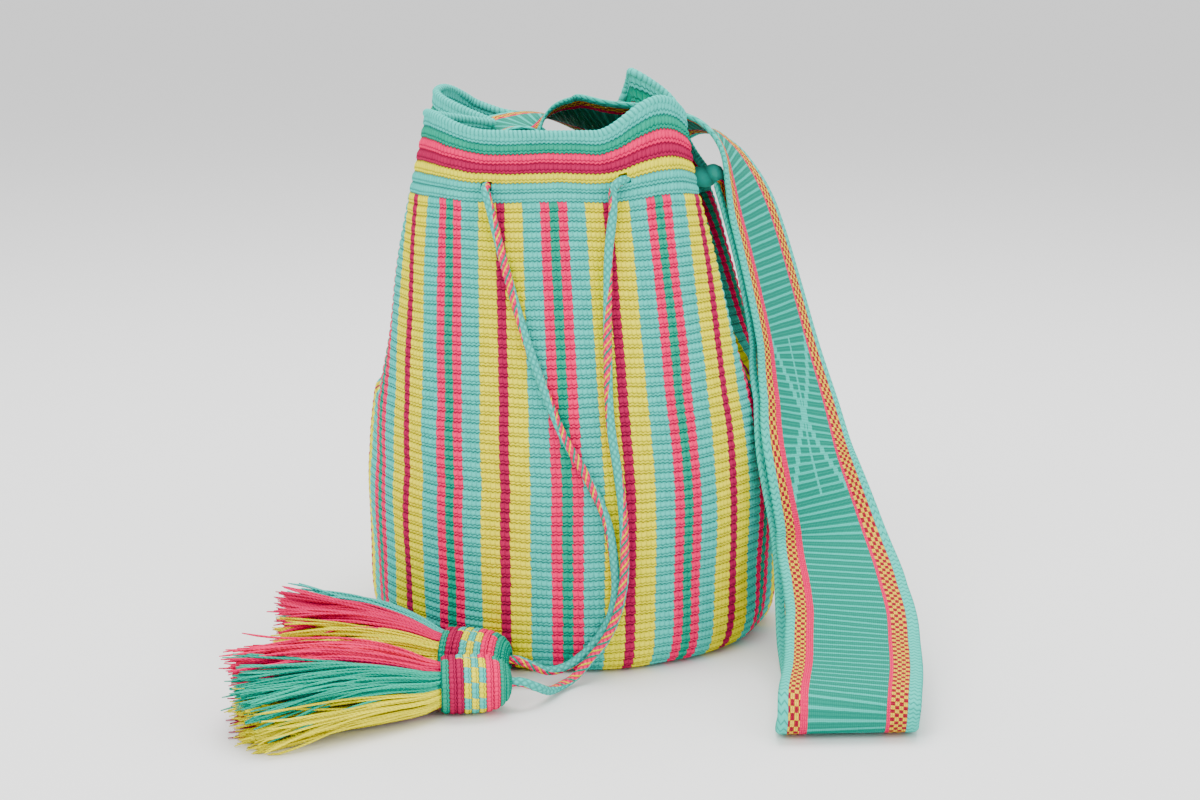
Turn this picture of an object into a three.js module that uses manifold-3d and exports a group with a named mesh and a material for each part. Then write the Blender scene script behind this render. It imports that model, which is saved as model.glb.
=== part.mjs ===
// A crocheted mochila: a bucket bag with a round base, a striped wall that is
// gathered into pleats at the neck, a woven shoulder strap, and a drawstring
// whose two ends carry capped tassels. It stands on its base, front towards -Y.
// Lengths are millimetres, +Z is up, the origin is the middle of the base.
import * as THREE from 'three';
import { mergeVertices } from 'three/addons/utils/BufferGeometryUtils.js';
import Module from 'manifold-3d';

const wasm = await Module();
wasm.setup();

// Driving dimensions of the crocheted wall
const WALL_THICKNESS = 3;
const STITCHES_ROUND = 264;
const STITCH_WIDTH = 2.83; // relaxed, so 264 stitches go round the widest level
const NECK_TIGHTENING = 0.15; // how much narrower a stitch gets in the drawn-in neck
const BASE_RADIUS = 105;
const NECK_SQUARENESS = 0.9; // how far the neck's outline goes from round to square
const NECK_FLATTENING = 0.06; // how much shallower the neck is, front to back
const NECK_SHIFT = -8; // the neck leans this far to the left
const TAPER_START = 105; // height where the round wall starts to narrow
const TAPER_END = 255;

// Half-width and height of the wall from the base edge to the rim
const PROFILE = [
  [105, 0], [113, 3], [118, 12], [120, 50], [120.5, 95],
  [114, 140], [103, 190], [93, 235], [85, 262], [78, 291],
];
// Inward folds of the gathered neck: where, how deep, how wide (degrees from +X).
// The drawstring comes out through the wall to cross the threaded ones.
const PLEATS = [
  { at: -12, depth: 40, half: 23, threaded: true },
  { at: 47, depth: 16, half: 15, threaded: false },
  { at: 92, depth: 34, half: 20, threaded: true },
  { at: 120, depth: 10, half: 12, threaded: false },
  { at: 180, depth: 34, half: 27, threaded: true },
];
// The strap's sewn end pulls the rim out and down on the right
const STRAP_SIDE = 3;
const STRAP_PULL = 10;
const STRAP_PULL_HALF = 24; // degrees
const WAVE_START = 232; // height above which the rim's waves show
const RIM_HEIGHT = 291;

// How the rim rises and dips round the mouth: where, how far, how wide (degrees)
const RIM_WAVES = [
  { at: -48, rise: 18, half: 27 },
  { at: STRAP_SIDE, rise: -30, half: 38 },
  { at: 50, rise: 26, half: 25 },
  { at: 84, rise: -21, half: 32 },
  { at: 148, rise: 17, half: 34 },
  { at: 210, rise: 9, half: 32 },
];

// Driving dimensions of the strap, the drawstring and the tassels
const STRAP_WIDTH = 72;
const STRAP_THICKNESS = 3;
const CORD_DIAMETER = 5;
const CORD_CLEARANCE = 0.4; // between the drawstring and its holes
const EYELET_ALONG = 0.905; // share of the wall's height where the eyelets sit
const CORD_INSET = 8; // the drawstring runs this far inside the neck's outline
const CORD_FOLD_SHARE = 0.35; // of a threaded fold's depth, which the cord cuts across
const CORD_STEP = 9.3; // degrees between the cord's points round the neck
const CAP_LENGTH = 37;
const CAP_RADIUS = 15.5;
const HEAD_START = 9; // the yarn starts this far inside the cap's tip
const TASSEL_LENGTH = 150;
const SKIRT_AXIS_HEIGHT = 14.8; // the axis rises above this where the skirt is taller
const HANK_CORE = 0.1; // share of the skirt's radius where a hank's wedge is blunt
const HANK_GAP = 2.5; // degrees left free at each side of a hank

const rad = THREE.MathUtils.degToRad;
const clamp01 = (x) => Math.min(1, Math.max(0, x));

// A raised-cosine bump of one, centred at `at`, both in degrees
function bump(angle, at, half) {
  const off = Math.abs(((angle - at + 540) % 360) - 180) / half;
  return off < 1 ? Math.cos(off * Math.PI / 2) ** 2 : 0;
}

const profileCurve = new THREE.CatmullRomCurve3(
  PROFILE.map(([r, z]) => new THREE.Vector3(r, 0, z)), false, 'centripetal');

// Radius of the level curve in direction `angle`, its folds scaled by `gather`
function levelRadius(angle, halfWidth, taper, gather) {
  const power = 2 + NECK_SQUARENESS * taper;
  const c = Math.abs(Math.cos(rad(angle)));
  const s = Math.abs(Math.sin(rad(angle))) / (1 - NECK_FLATTENING * taper);
  let radius = halfWidth * (c ** power + s ** power) ** (-1 / power);
  for (const fold of PLEATS) radius -= gather * fold.depth * bump(angle, fold.at, fold.half);
  return radius;
}

function levelLength(halfWidth, taper, gather) {
  const count = 360;
  let length = 0;
  let last = null;
  for (let i = 0; i <= count; i += 1) {
    const angle = i * 360 / count;
    const r = levelRadius(angle, halfWidth, taper, gather);
    const here = new THREE.Vector2(r * Math.cos(rad(angle)), r * Math.sin(rad(angle)));
    if (last) length += here.distanceTo(last);
    last = here;
  }
  return length;
}

// The cloth never stretches, so its spare length at each level goes into the folds
function level(along) {
  const p = profileCurve.getPointAt(along);
  const taper = clamp01((p.z - TAPER_START) / (TAPER_END - TAPER_START));
  const cloth = STITCHES_ROUND * STITCH_WIDTH * (1 - NECK_TIGHTENING * taper);
  let low = 0;
  let high = taper > 0 ? 1.6 : 0;
  for (let i = 0; i < 24; i += 1) {
    const middle = (low + high) / 2;
    if (levelLength(p.x, taper, middle) < cloth) low = middle;
    else high = middle;
  }
  return { halfWidth: p.x, height: p.z, taper, gather: low };
}

// A point of the wall: `inset` is how far it lies inside the outer face
function wallPoint(angle, ring, inset) {
  const at = (a) => {
    const r = levelRadius(a, ring.halfWidth, ring.taper, ring.gather);
    return new THREE.Vector2(r * Math.cos(rad(a)), r * Math.sin(rad(a)));
  };
  const tangent = at(angle + 0.5).sub(at(angle - 0.5)).normalize();
  const plan = at(angle).add(new THREE.Vector2(-tangent.y, tangent.x).multiplyScalar(inset));
  const near = clamp01((ring.height - WAVE_START) / (RIM_HEIGHT - WAVE_START)) ** 2;
  const flare = 1 + near * STRAP_PULL * bump(angle, STRAP_SIDE, STRAP_PULL_HALF) / ring.halfWidth;
  let z = ring.height;
  for (const wave of RIM_WAVES) z += near * wave.rise * bump(angle, wave.at, wave.half);
  return new THREE.Vector3(plan.x * flare + NECK_SHIFT * ring.taper, plan.y * flare, z);
}

// The outer face, the rim, the inner face and the two faces of the base are one
// closed profile turned round the axis; each of its points is then put in place
function bagShell() {
  const outer = [0, 0.03, 0.07, 0.14, 0.24, 0.34, 0.44, 0.53, 0.62, 0.7, 0.78, 0.85, 0.91, 0.96, 1];
  const inner = outer.slice(1).reverse();
  const stations = [
    { base: 0, floor: 0 }, { base: 0.6, floor: 0 },
    ...outer.map((along) => ({ ring: level(along), inset: 0 })),
    ...inner.map((along) => ({ ring: level(along), inset: WALL_THICKNESS })),
    { base: 0.6, floor: WALL_THICKNESS }, { base: 0, floor: WALL_THICKNESS },
  ];
  const segments = 108;
  const outline = stations.map((s, i) => new THREE.Vector2(s.base === 0 ? 0 : 1, i));
  const geometry = new THREE.LatheGeometry(outline, segments);
  const position = geometry.attributes.position;
  for (let i = 0; i < position.count; i += 1) {
    const angle = 360 * Math.floor(i / stations.length) / segments;
    const s = stations[i % stations.length];
    const r = BASE_RADIUS * s.base;
    const p = s.ring ? wallPoint(angle % 360, s.ring, s.inset)
      : new THREE.Vector3(r * Math.cos(rad(angle)), r * Math.sin(rad(angle)), s.floor);
    position.setXYZ(i, p.x, p.y, p.z);
  }
  return geometry;
}

// The strap's middle line and the direction across it, from the end sewn inside
// the left of the mouth, over the mouth, down to a fold on the table and back up
const STRAP_ROUTE = [
  [-54.5, 4, 264, 0, 1, 0], [-49, 4.5, 277, 0, 1, 0], [-42, 7, 286.5, -0.1, 0.99, 0.05],
  [-30, 13, 290, -0.28, 0.95, 0.08], [-14, 15, 294, -0.2, 0.97, -0.14],
  [6, 12, 293, 0, 0.93, -0.36], [24, 5, 290, 0.06, 0.9, -0.42], [44, 4, 289, 0.1, 0.91, -0.4],
  [60, -4, 292.5, 0.1, 0.93, -0.25], [74, -9, 290, 0.1, 0.97, -0.15],
  [86.5, -10, 278, 0.2, 0.97, -0.1], [95, -10.5, 262, 0.33, 0.94, -0.05],
  [101.5, -11.5, 245, 0.42, 0.91, 0], [107, -13, 228, 0.45, 0.89, 0],
  [114, -16, 203, 0.47, 0.88, 0.03], [124, -23, 163, 0.52, 0.85, 0.06],
  [130, -37, 134, 0.62, 0.78, 0.06], [134, -51, 110, 0.72, 0.69, 0.06],
  [146, -69, 66, 0.86, 0.5, 0.06], [150, -97, 48, 0.91, 0.4, 0.04], [151, -121, 38, 0.96, 0.2, 0],
  [149, -144, 31, 0.99, 0.1, 0], [146, -173, 26, 1, 0.03, 0], [141.5, -200, 22.6, 1, 0.04, 0],
  [140, -209, 19, 1, 0.05, 0], [139.5, -212.5, 12.2, 1, 0.05, 0], [139.5, -209, 5.6, 1, 0.05, 0],
  [140, -200, 2.7, 1, 0.04, 0], [145, -172, 2.5, 1, -0.1, 0], [148.5, -143, 2.5, 1, -0.06, 0],
  [149.5, -118, 3.3, 1, 0.02, 0], [149, -95, 10, 0.98, 0.12, 0], [147, -77, 28, 0.94, 0.34, 0.02],
  [142.5, -62, 62, 0.86, 0.5, 0.06], [129.5, -46.5, 110, 0.72, 0.69, 0.06],
  [126, -35, 134, 0.62, 0.78, 0.06], [120, -19.5, 163, 0.52, 0.85, 0.06],
  [111, -12.5, 203, 0.47, 0.88, 0.03], [104, -9.5, 228, 0.45, 0.89, 0],
  [98, -7.5, 245, 0.42, 0.91, 0], [90, -5, 262, 0.33, 0.94, 0],
];
const strapMiddle = new THREE.CatmullRomCurve3(
  STRAP_ROUTE.map(([x, y, z]) => new THREE.Vector3(x, y, z)), false, 'centripetal');
const strapAcross = new THREE.CatmullRomCurve3(
  STRAP_ROUTE.map((row) => new THREE.Vector3(...row.slice(3))), false, 'catmullrom');

// A flat bar of the strap's section, each slice put square on the route
function strapBand() {
  const slices = (STRAP_ROUTE.length - 1) * 4;
  const band = new THREE.BoxGeometry(STRAP_WIDTH, STRAP_THICKNESS, 1, 2, 1, slices);
  const position = band.attributes.position;
  for (let i = 0; i < position.count; i += 1) {
    const t = clamp01(position.getZ(i) + 0.5);
    const along = strapMiddle.getTangent(t);
    const across = strapAcross.getPoint(t);
    across.addScaledVector(along, -across.dot(along)).normalize();
    const face = new THREE.Vector3().crossVectors(along, across);
    const p = strapMiddle.getPoint(t)
      .addScaledVector(across, position.getX(i)).addScaledVector(face, position.getY(i));
    position.setXYZ(i, p.x, p.y, p.z);
  }
  return band;
}

// The drawstring's free ends, from each tassel up to its eyelet in the front
const LEFT_END = [
  [-37.4, -131.6, 15.6], [-29, -133.4, 15.4], [-22, -133.6, 12.6], [-13, -131, 8.6],
  [-4, -127, 9.2], [5, -122.8, 14], [13, -121.9, 22.3], [20.9, -121.6, 36.6], [23.5, -121.5, 52.4],
  [22.2, -122, 70.2], [18.7, -122.4, 89.3], [12, -121.7, 105.7], [4.9, -120.2, 119.1],
  [-4.3, -117.2, 134.5], [-13.5, -112.2, 155.9], [-22.3, -105.7, 179.1], [-29.9, -99.4, 202.4],
  [-37.5, -92.3, 229], [-43, -86, 249.8], [-46.5, -81.5, 262],
];
const RIGHT_END = [
  [22.9, -82.5, 264.5], [21.8, -86.4, 249.9], [19.6, -92.6, 229.2], [19.1, -98.6, 205.6],
  [19.1, -105.1, 179.6], [20.4, -114, 143.1], [24.7, -119.2, 114.2], [27.2, -121.5, 95],
  [28.2, -123.2, 74.8], [27.6, -126.3, 55.5], [23.6, -127.7, 37.5], [17.5, -127.6, 24],
  [9, -127.9, 13], [1, -132.5, 5.2], [-6, -141, 3.6], [-12, -153, 5.4], [-18.5, -164, 11.6],
  [-26, -167.5, 15.4], [-35.5, -168.5, 15.6],
];
const NECK_FROM = 240.5; // degrees, just past the left eyelet
const NECK_TO = -66;

// Inside the neck the cord keeps to the outline and cuts across the deep folds
function neckPoint(angle) {
  const ring = level(EYELET_ALONG);
  let r = levelRadius(angle, ring.halfWidth, ring.taper, 0) - CORD_INSET;
  for (const fold of PLEATS) {
    const share = fold.threaded ? CORD_FOLD_SHARE : 1;
    r -= share * ring.gather * fold.depth * bump(angle, fold.at, fold.half);
  }
  const z = wallPoint(angle, ring, 0).z;
  return [r * Math.cos(rad(angle)) + NECK_SHIFT, r * Math.sin(rad(angle)), z + 1];
}

const neckRoute = [];
for (let angle = NECK_FROM; angle > NECK_TO; angle -= CORD_STEP) {
  neckRoute.push(neckPoint(angle));
}
const cordRoute = new THREE.CatmullRomCurve3(
  [...LEFT_END, ...neckRoute, ...RIGHT_END].map((p) => new THREE.Vector3(...p)),
  false, 'centripetal');

function cordTube(radius) {
  const sides = 10;
  const section = new THREE.Shape();
  for (let i = 0; i < sides; i += 1) {
    const turn = (i / sides) * 2 * Math.PI;
    const move = i === 0 ? 'moveTo' : 'lineTo';
    section[move](radius * Math.cos(turn), radius * Math.sin(turn));
  }
  return new THREE.ExtrudeGeometry(section, {
    steps: 80, curveSegments: 1, bevelEnabled: false, extrudePath: cordRoute,
  });
}

// Turns a closed geometry into a solid that can be cut, and back
function toSolid(geometry) {
  const bare = geometry.clone();
  bare.deleteAttribute('normal');
  bare.deleteAttribute('uv');
  const merged = mergeVertices(bare, 1e-4);
  return new wasm.Manifold(new wasm.Mesh({
    numProp: 3,
    vertProperties: new Float32Array(merged.attributes.position.array),
    triVerts: new Uint32Array(merged.index.array),
  }));
}

function toGeometry(solid) {
  const mesh = solid.getMesh();
  const geometry = new THREE.BufferGeometry();
  geometry.setAttribute('position', new THREE.BufferAttribute(mesh.vertProperties, 3));
  geometry.setIndex(new THREE.BufferAttribute(mesh.triVerts, 1));
  geometry.computeVertexNormals();
  return geometry;
}

// The crocheted cap of a tassel: an open bell with a small hole at its tip.
// Turned so that the tip points along the group's +X.
function tasselCap() {
  const hole = CORD_DIAMETER / 2 + 1.4;
  const outline = [
    [hole, 0], [8, 1.2], [12.4, 5.5], [14.8, 12], [CAP_RADIUS, 23], [14.6, CAP_LENGTH],
    [12.4, CAP_LENGTH], [13, 23], [12.6, 13], [10.4, 7.6], [6.6, 4.2], [hole, 3], [hole, 0],
  ].map(([r, s]) => new THREE.Vector2(r, -s));
  return new THREE.LatheGeometry(outline.reverse(), 28).rotateZ(-Math.PI / 2);
}

// The ring of yarn round the hanks' heads, inside the cap
function tasselTie() {
  const outline = [[9.6, 15], [11.6, 15], [11.6, 21], [9.6, 21], [9.6, 15]]
    .map(([r, s]) => new THREE.Vector2(r, -s));
  return new THREE.LatheGeometry(outline.reverse(), 24).rotateZ(-Math.PI / 2);
}

// One colour of the cut yarn: a wedge of the bundle, round in the cap and wider
// than it is tall at its cut end, where it rests on the table. Seen from the tip,
// 0 degrees is the side towards -Y, 90 is the top.
function hank({ from, to, spread, turn }) {
  const wedge = new THREE.Shape();
  const middle = rad((from + to) / 2);
  wedge.moveTo(HANK_CORE * Math.cos(middle), HANK_CORE * Math.sin(middle));
  const arcs = 8;
  for (let i = 0; i <= arcs; i += 1) {
    const a = rad(from + HANK_GAP + (to - from - 2 * HANK_GAP) * i / arcs);
    wedge.lineTo(Math.cos(a), Math.sin(a));
  }
  const geometry = new THREE.ExtrudeGeometry(wedge, { depth: 1, steps: 12, bevelEnabled: false });
  const wide = new THREE.CatmullRomCurve3([
    [0, 9], [0.1, 9], [0.2, 11.2], [0.33, 0.5 * spread], [0.6, 0.82 * spread], [1, spread],
  ].map(([s, r]) => new THREE.Vector3(s, r, 0)));
  const tall = new THREE.CatmullRomCurve3([
    [0, 9], [0.1, 9], [0.2, 11.2], [0.33, 16], [0.6, 20.5], [1, 21],
  ].map(([s, r]) => new THREE.Vector3(s, r, 0)));
  const position = geometry.attributes.position;
  for (let i = 0; i < position.count; i += 1) {
    const t = position.getZ(i);
    const w = wide.getPoint(t);
    const h = tall.getPoint(t);
    const bend = turn * Math.max(0, w.x - 0.2) ** 1.5;
    position.setXYZ(i,
      -HEAD_START - w.x * (TASSEL_LENGTH - HEAD_START),
      bend - position.getX(i) * w.y,
      position.getY(i) * h.y + Math.max(0, h.y - SKIRT_AXIS_HEIGHT));
  }
  return geometry;
}

const bag = new THREE.Group();

function piece(name, geometry, color, roughness = 0.9, group = bag) {
  const material = new THREE.MeshStandardMaterial({ color, roughness, metalness: 0 });
  const mesh = new THREE.Mesh(geometry, material);
  mesh.name = name;
  group.add(mesh);
}

const AQUA = 0x7dc8be;
const TEAL = 0x3cb9a0;
const GREEN = 0x1ea587;
const PINK = 0xfa4b78;
const CRIMSON = 0xbe235a;
const YELLOW = 0xebe150;

const eyelets = toSolid(cordTube(CORD_DIAMETER / 2 + CORD_CLEARANCE));
piece('bag_body', toGeometry(toSolid(bagShell()).subtract(eyelets)), AQUA);
piece('strap', strapBand(), TEAL, 0.85);
piece('drawstring', cordTube(CORD_DIAMETER / 2), AQUA, 0.8);

// The yarn that sews the strap's left end to the mouth, and the bunched hem that
// joins its right end to the fold of the neck
piece('strap_seam_left', new THREE.BoxGeometry(3, 56, 4).translate(-55.6, 4, 259.5), AQUA);
piece('strap_seam_right', new THREE.BoxGeometry(20, 12, 9).translate(71.5, -20, 262.5), AQUA);

// A tassel lies on the table with its tip towards the cord, along its group's +X
function tassel(end, place, heading, hanks) {
  const group = new THREE.Group();
  group.position.set(...place);
  group.rotation.z = rad(heading);
  bag.add(group);
  piece(`tassel_cap_${end}`, tasselCap(), PINK, 0.9, group);
  piece(`tassel_tie_${end}`, tasselTie(), YELLOW, 0.9, group);
  for (const [colour, hex, shape] of hanks) {
    piece(`tassel_${end}_${colour}`, hank(shape), hex, 0.75, group);
  }
}

tassel('front', [-31, -168, 15.6], 6, [
  ['pink', PINK, { from: 75, to: 185, spread: 42, turn: -4 }],
  ['green', GREEN, { from: 25, to: 75, spread: 42, turn: -4 }],
  ['yellow', YELLOW, { from: -60, to: 25, spread: 42, turn: -4 }],
  ['crimson', CRIMSON, { from: 185, to: 300, spread: 42, turn: -4 }],
]);
tassel('rear', [-33, -132.6, 15.6], -13, [
  ['aqua', AQUA, { from: 90, to: 185, spread: 33, turn: 6 }],
  ['magenta', CRIMSON, { from: 45, to: 90, spread: 33, turn: 6 }],
  ['yellow', YELLOW, { from: -45, to: 45, spread: 33, turn: 6 }],
  ['green', GREEN, { from: 185, to: 315, spread: 33, turn: 6 }],
]);

export default bag;
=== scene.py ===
import math
import bmesh
import bpy
import numpy as np
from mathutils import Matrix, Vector


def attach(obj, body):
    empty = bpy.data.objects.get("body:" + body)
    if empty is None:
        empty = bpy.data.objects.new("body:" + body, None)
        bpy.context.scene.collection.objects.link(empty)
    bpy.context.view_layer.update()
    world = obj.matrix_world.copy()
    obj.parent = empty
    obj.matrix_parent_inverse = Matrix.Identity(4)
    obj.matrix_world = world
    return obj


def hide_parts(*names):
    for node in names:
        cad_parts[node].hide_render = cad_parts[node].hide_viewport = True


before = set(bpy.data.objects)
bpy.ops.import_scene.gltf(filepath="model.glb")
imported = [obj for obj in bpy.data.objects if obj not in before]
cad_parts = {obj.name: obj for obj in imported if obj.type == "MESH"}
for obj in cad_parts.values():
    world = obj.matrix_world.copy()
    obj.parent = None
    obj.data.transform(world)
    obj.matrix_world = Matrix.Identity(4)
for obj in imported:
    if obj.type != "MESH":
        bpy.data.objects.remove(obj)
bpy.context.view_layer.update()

# ---------------------------------------------------------------------------
# Viewpoint: level with the bag's front, a little above the table.

camera_data = bpy.data.cameras.new("camera")
camera_data.sensor_width = 36
camera_data.lens = 62.7
camera = bpy.data.objects.new("camera", camera_data)
camera.location = (0.015, -1.2, 0.393)
camera.rotation_euler = (math.radians(77.6), 0, 0)
bpy.context.scene.collection.objects.link(camera)
bpy.context.scene.camera = camera

# ---------------------------------------------------------------------------
# Drawstring: a round 5 mm braid, half aqua and half flecked. It leaves one
# tassel cap, climbs the front, goes round inside the neck, in and out of the
# folds, and comes down the front again to the other cap.

# The neck's shape, which the crochet wall shares: the widest half-width and
# height of each level, and the folds that take up the drawn-in cloth, each with
# its direction in degrees from +X, depth, half-width in degrees and whether the
# drawstring comes out through the wall to cross it
STITCHES = 264
STITCH_WIDTH = 0.00283
PROFILE = [(0.105, 0), (0.113, 0.003), (0.118, 0.012), (0.120, 0.050), (0.1205, 0.095),
           (0.114, 0.140), (0.103, 0.190), (0.093, 0.235), (0.085, 0.262), (0.078, 0.291)]
FOLDS = [(-12, 0.040, 23, True), (47, 0.016, 15, False), (92, 0.034, 20, True),
         (120, 0.010, 12, False), (180, 0.034, 27, True)]
FOLDS_START = 0.105
FOLDS_RISE = 0.150
FOLDS_ONSET = 2.2
NECK_SQUARENESS = 0.9
NECK_FLATTENING = 0.06
NECK_DRAWN_IN = 0.15
# The rim rises and dips, and the strap pulls it out on the right
STRAP_SIDE = 3
STRAP_PULL = 0.010
STRAP_PULL_HALF = 24
WAVES_START = 0.232
WAVES_RISE = 0.059
RIM_WAVES = [(-48, 0.018, 27), (STRAP_SIDE, -0.030, 38), (50, 0.026, 25), (84, -0.021, 32),
             (148, 0.017, 34), (210, 0.009, 32)]
NECK_SHIFT = -0.008
# The drawstring's round of the neck, in degrees, a little inside the wall
CORD_LEVEL = 0.905
CORD_FROM = 240.5
CORD_TO = -66
CORD_STEP = -9.3
CORD_CLEARANCE = 0.008
CORD_FOLD_SHARE = 0.35
CORD_RADIUS = 0.0024


def spline(points, per_span=24):
    """A centripetal curve through the points, and the distance along it."""
    p = np.array(points, float)
    p = np.vstack([2 * p[0] - p[1], p, 2 * p[-1] - p[-2]])
    gap = np.sqrt(np.linalg.norm(np.diff(p[:, :3], axis=0), axis=1))[:, None, None]
    a, b, c, d = (p[k:len(p) - 3 + k, None] for k in range(4))
    before, here, after = gap[:-2], gap[1:-1], gap[2:]
    leave = ((b - a) / before - (c - a) / (before + here) + (c - b) / here) * here
    arrive = ((c - b) / here - (d - b) / (here + after) + (d - c) / after) * here
    t = np.linspace(0, 1, per_span, endpoint=False)[None, :, None]
    spans = (b + leave * t + (3 * (c - b) - 2 * leave - arrive) * t**2
             + (2 * (b - c) + leave + arrive) * t**3)
    curve = np.vstack([spans.reshape(-1, p.shape[1]), p[-2]])
    step = np.linalg.norm(np.diff(curve[:, :3], axis=0), axis=1)
    return curve, np.concatenate([[0], np.cumsum(step)])


def along(curve, run, where):
    """The places on a curve at these distances from its start."""
    return np.stack([np.interp(where, run, column) for column in curve.T], -1)


def unit(vectors):
    return vectors / np.linalg.norm(vectors, axis=-1, keepdims=True)


def bump(angle, at, half):
    """A rounded bump of height one about a direction, all in degrees."""
    off = np.abs((angle - at + 540) % 360 - 180) / half
    return np.cos(np.minimum(off, 1) * math.pi / 2)**2


def outline(angle, half_width, taper, gather):
    """A level of the wall seen from above: round low down, folded at the neck."""
    power = 2 + NECK_SQUARENESS * taper
    turn = np.radians(angle)
    c = np.abs(np.cos(turn))
    s = np.abs(np.sin(turn)) / (1 - NECK_FLATTENING * taper)
    r = half_width * (c**power + s**power)**(-1 / power)
    for at, depth, half, _ in FOLDS:
        r = r - gather * depth * bump(angle, at, half)
    return np.stack([r * np.cos(turn), r * np.sin(turn)], -1)


ROUND = np.linspace(-90, 270, 721)
profile, profile_run = spline(PROFILE)


def distance_round(half_width, taper, gather):
    """How far round the level each direction lies."""
    step = np.diff(outline(ROUND, half_width, taper, gather), axis=0)
    return np.concatenate([[0], np.cumsum(np.linalg.norm(step, axis=1))])


def level(share):
    """Half-width, height, taper and depth of folds at a share of the wall's height,
    with the distance round the level: the folds are as deep as the cloth is long."""
    half_width, height = along(profile, profile_run, share * profile_run[-1])
    taper = min(1, max(0, (height - FOLDS_START) / FOLDS_RISE))
    cloth = STITCHES * STITCH_WIDTH * (1 - NECK_DRAWN_IN * taper)
    low, high = 0.0, 1.6 if taper > 0 else 0.0
    for _ in range(16):
        gather = (low + high) / 2
        run = distance_round(half_width, taper, gather)
        low, high = (gather, high) if run[-1] < cloth else (low, gather)
    # The folds begin gently
    onset = min(1, taper * FOLDS_ONSET)
    gather = gather * onset**2 * (3 - 2 * onset)
    return half_width, height, taper, gather, distance_round(half_width, taper, gather)


def wall_point(angle, ring, inset=0.0):
    """A place on the wall's outer face, or this far inside it."""
    half_width, height, taper, gather, _ = ring
    shape = (half_width, taper, gather)
    edge = unit(outline(angle + 0.5, *shape) - outline(angle - 0.5, *shape))
    inward = np.stack([-edge[..., 1], edge[..., 0]], -1)
    flat = outline(angle, *shape) + inward * np.asarray(inset)[..., None]
    near = min(1, max(0, (height - WAVES_START) / WAVES_RISE))**2
    pulled = near * STRAP_PULL * bump(angle, STRAP_SIDE, STRAP_PULL_HALF)
    flat = flat * (1 + pulled / half_width)[..., None]
    z = height + near * sum(rise * bump(angle, at, half) for at, rise, half in RIM_WAVES)
    return np.stack([flat[..., 0] + NECK_SHIFT * taper, flat[..., 1], z], -1)


neck = level(CORD_LEVEL)
neck_angles = np.arange(CORD_FROM, CORD_TO, CORD_STEP)
threaded = sum((CORD_FOLD_SHARE if through else 1) * depth * bump(neck_angles, at, half)
               for at, depth, half, through in FOLDS)
neck_plan = outline(neck_angles, neck[0], neck[2], 0)
neck_plan = neck_plan - unit(neck_plan) * (CORD_CLEARANCE + neck[3] * threaded)[:, None]
neck_height = wall_point(neck_angles, neck)[:, 2] + 0.001
neck_route = np.column_stack([neck_plan[:, 0] + NECK_SHIFT, neck_plan[:, 1], neck_height])

cord_route = np.vstack([
    [(-0.0374, -0.1316, 0.0156), (-0.029, -0.1334, 0.0154), (-0.022, -0.1336, 0.0126),
     (-0.013, -0.131, 0.0086), (-0.004, -0.127, 0.0092), (0.005, -0.1228, 0.014),
     (0.013, -0.1219, 0.0223), (0.0209, -0.1216, 0.0366), (0.0235, -0.1215, 0.0524),
     (0.0222, -0.122, 0.0702), (0.0187, -0.1224, 0.0893), (0.012, -0.1217, 0.1057),
     (0.0049, -0.1202, 0.1191), (-0.0043, -0.1172, 0.1345), (-0.0135, -0.1122, 0.1559),
     (-0.0223, -0.1057, 0.1791), (-0.0299, -0.0994, 0.2024), (-0.0375, -0.0923, 0.229),
     (-0.043, -0.086, 0.2498), (-0.0465, -0.0815, 0.262)],
    neck_route,
    [(0.0229, -0.0825, 0.2645), (0.0218, -0.0864, 0.2499), (0.0196, -0.0926, 0.2292),
     (0.0191, -0.0986, 0.2056), (0.0191, -0.1051, 0.1796), (0.0204, -0.114, 0.1431),
     (0.0247, -0.1192, 0.1142), (0.0272, -0.1215, 0.095), (0.0282, -0.1232, 0.0748),
     (0.0276, -0.1263, 0.0555), (0.0236, -0.1277, 0.0375), (0.0175, -0.1276, 0.024),
     (0.009, -0.1279, 0.013), (0.001, -0.1325, 0.0052), (-0.006, -0.141, 0.0036),
     (-0.012, -0.153, 0.0054), (-0.0185, -0.164, 0.0116), (-0.026, -0.1675, 0.0154),
     (-0.0355, -0.1685, 0.0156)],
])
cord_curve, cord_run = spline(cord_route, 12)
CORD_LENGTH = cord_run[-1]


def knit(name, across, rows, place, thread, copies=1):
    """Cloth or yarn: plain grids put in place by place(u, v, copy), u and v from 0 to
    1, that carry their own thread coordinates, thread(u, v, copy), in a cloth map."""
    grid = bmesh.new()
    grid.loops.layers.uv.new("cloth")
    for _ in range(copies):
        bmesh.ops.create_grid(grid, x_segments=across, y_segments=rows, size=0.5, calc_uvs=True)
    mesh = bpy.data.meshes.new(name)
    grid.to_mesh(mesh)
    flat = np.empty(len(mesh.vertices) * 3)
    mesh.vertices.foreach_get("co", flat)
    copy = np.arange(len(mesh.vertices)) * copies // len(mesh.vertices)
    mesh.vertices.foreach_set("co", place(flat[0::3] + 0.5, flat[1::3] + 0.5, copy).ravel())
    square = np.empty(len(mesh.loops) * 2)
    mesh.uv_layers["cloth"].data.foreach_get("uv", square)
    copy = np.arange(len(mesh.loops)) * copies // len(mesh.loops)
    threads = np.stack(thread(square[0::2], square[1::2], copy), -1)
    mesh.uv_layers["cloth"].data.foreach_set("uv", threads.ravel())
    grid.clear()
    grid.from_mesh(mesh)
    return grid, mesh


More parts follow.
